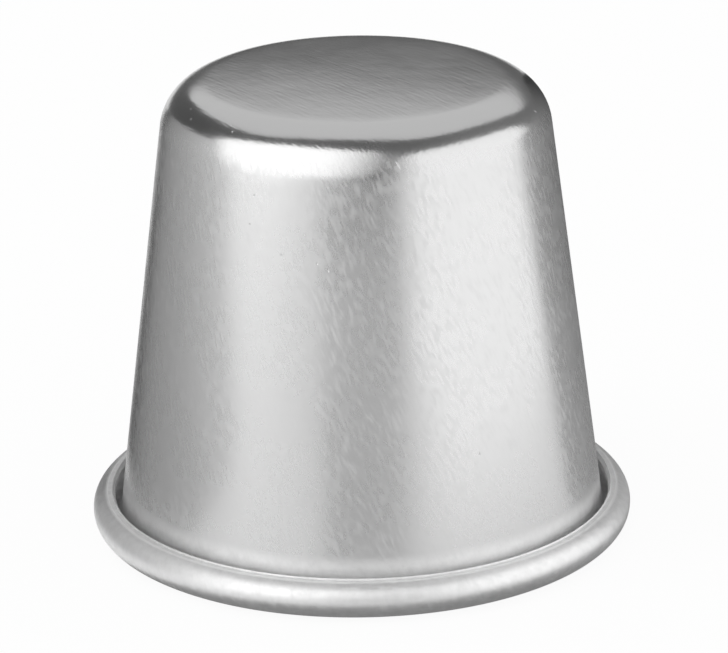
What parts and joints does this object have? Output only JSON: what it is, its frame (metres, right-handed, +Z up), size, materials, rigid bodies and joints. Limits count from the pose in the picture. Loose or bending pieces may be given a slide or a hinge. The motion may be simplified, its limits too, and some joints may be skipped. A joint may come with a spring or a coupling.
{
  "type": "baba mould",
  "caption": "Tapered round aluminium baking mould, pressed in one piece, with a flat base, a rounded base corner and an open rolled rim, standing mouth down.",
  "frame": {"origin": "centre of the circle on which the rolled rim rests, with the mould standing mouth down", "axes": "+Z up the mould's axis, from the mouth to the base; X and Y lie in the plane of the rim"},
  "size_m": [0.07, 0.07, 0.06],
  "materials": {
    "drawn_aluminium": "satin drawn aluminium with fine brush strokes and light scratches"
  },
  "bodies": {
    "root": {"mould_cup": "drawn_aluminium"}
  },
  "joints": []
}
